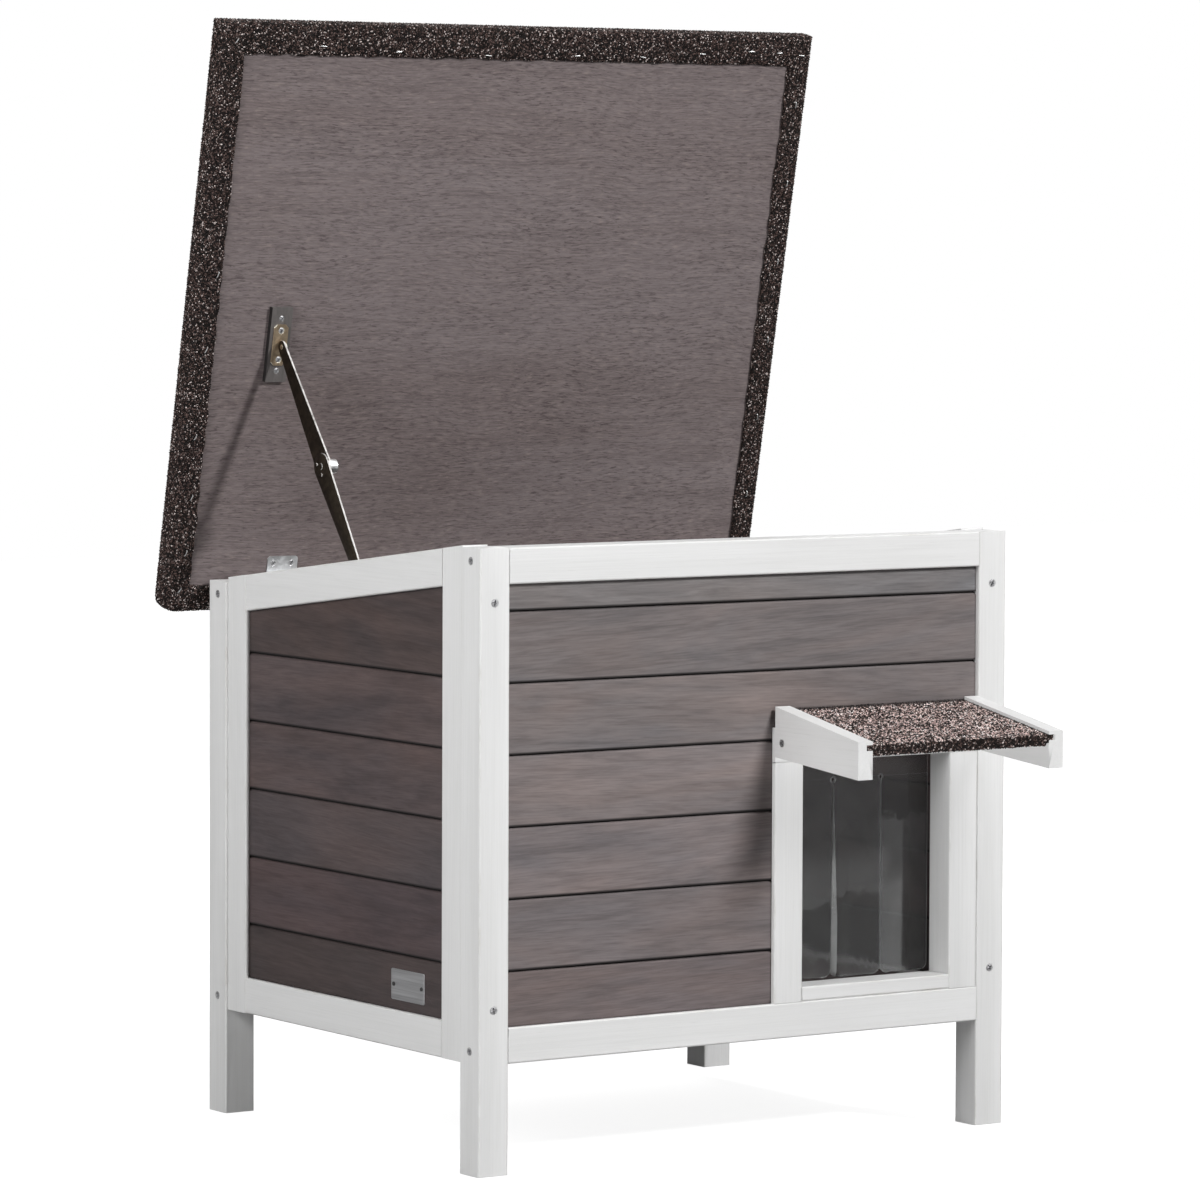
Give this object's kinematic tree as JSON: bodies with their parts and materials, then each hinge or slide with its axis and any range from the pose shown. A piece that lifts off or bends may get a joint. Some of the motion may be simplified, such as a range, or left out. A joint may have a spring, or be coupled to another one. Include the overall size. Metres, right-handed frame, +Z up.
{
  "type": "outdoor cat house",
  "caption": "Raised wooden cat house with boarded walls, a doorway with a clear strip flap under a felted awning, and a felted lid that hinges up at the rear on a folding stay.",
  "frame": {"origin": "middle of the overall box in plan, at the ground under the feet, with the lid open", "axes": "+X to the right seen from the doorway, +Y to the rear where the lid hinges, +Z up"},
  "size_m": [0.746, 0.6966, 1.1444],
  "materials": {
    "painted_timber": "thin white paint, satin",
    "stained_board": "grey-brown stain, matt",
    "stained_block": "grey-brown stain, matt",
    "plywood": "grey-brown stain over plywood, matt",
    "roofing_felt": "mineral granules on bitumen felt, matt",
    "clear_sheet": "clear flexible sheet, glossy",
    "zinc_steel": "zinc plated",
    "bronze_plate": "yellow passivated, satin",
    "bare_plate": "bare, satin"
  },
  "bodies": {
    "house": {"post_front_left": "painted_timber", "post_front_right": "painted_timber", "post_rear_left": "painted_timber", "post_rear_right": "painted_timber", "front_top_rail": "painted_timber", "front_bottom_rail": "painted_timber", "front_board_1": "stained_board", "front_board_2": "stained_board", "front_board_3": "stained_board", "front_board_4": "stained_board", "front_board_5": "stained_board", "front_board_6": "stained_board", "front_board_7": "stained_board", "door_stile": "painted_timber", "door_jamb": "painted_timber", "door_head": "painted_timber", "door_sill": "painted_timber", "wall_cleats": "painted_timber", "left_top_rail": "painted_timber", "left_bottom_rail": "painted_timber", "left_front_stile": "painted_timber", "left_rear_stile": "painted_timber", "left_boards": "stained_board", "right_top_rail": "painted_timber", "right_bottom_rail": "painted_timber", "right_front_stile": "painted_timber", "right_rear_stile": "painted_timber", "right_boards": "stained_board", "rear_top_rail": "painted_timber", "rear_bottom_rail": "painted_timber", "rear_boards": "stained_board", "floor_panel": "plywood", "floor_battens": "painted_timber", "awning_cheek_left": "painted_timber", "awning_cheek_right": "painted_timber", "awning_board": "plywood", "awning_felt": "roofing_felt", "awning_batten_bar": "painted_timber", "flap_band": "clear_sheet", "hinge_house_leaves": "zinc_steel", "hinge_pins": "zinc_steel", "stay_side_block": "stained_block", "stay_side_bracket": "bronze_plate", "frame_screws": "zinc_steel", "house_screws": "zinc_steel", "flap_screws": "zinc_steel", "side_plate": "bare_plate", "plate_pins": "zinc_steel"},
    "lid": {"roof_board": "plywood", "roof_felt": "roofing_felt", "hinge_lid_leaves": "zinc_steel", "stay_lid_block": "stained_block", "stay_lid_bracket": "bronze_plate", "lid_screws": "zinc_steel"},
    "stay_upper": {"stay_upper_arm": "bronze_plate", "stay_knob": "zinc_steel"},
    "stay_lower": {"stay_lower_arm": "bronze_plate"},
    "flap_left": {"flap_tongue_left": "clear_sheet"},
    "flap_middle": {"flap_tongue_middle": "clear_sheet"},
    "flap_right": {"flap_tongue_right": "clear_sheet"}
  },
  "joints": [
    {"name": "lid_hinge", "type": "hinge", "parent": "house", "child": "lid", "pos_m": [0, 0.32167, 0.55722], "axis": [1, 0, 0], "range_deg": [0, 71.5]},
    {"name": "stay_lid_pivot", "type": "hinge", "parent": "lid", "child": "stay_upper", "pos_m": [-0.2725, 0.25789, 0.80549], "axis": [1, 0, 0], "range_deg": [-60.39, 0]},
    {"name": "stay_side_pivot", "type": "hinge", "parent": "house", "child": "stay_lower", "pos_m": [-0.275, 0.09067, 0.56221], "axis": [1, 0, 0], "range_deg": [0, 181.21]},
    {"name": "flap_left_bend", "type": "hinge", "parent": "house", "child": "flap_left", "pos_m": [0.0993, -0.17143, 0.3665], "axis": [1, 0, 0], "range_deg": [-75, 75]},
    {"name": "flap_middle_bend", "type": "hinge", "parent": "house", "child": "flap_middle", "pos_m": [0.1605, -0.17143, 0.3665], "axis": [1, 0, 0], "range_deg": [-75, 75]},
    {"name": "flap_right_bend", "type": "hinge", "parent": "house", "child": "flap_right", "pos_m": [0.2217, -0.17143, 0.3665], "axis": [1, 0, 0], "range_deg": [-75, 75]}
  ],
  "couplings": [
    {"joint": "stay_lid_pivot", "follows": "lid_hinge", "ratio": -0.83768},
    {"joint": "stay_side_pivot", "follows": "lid_hinge", "ratio": 2.5274}
  ]
}
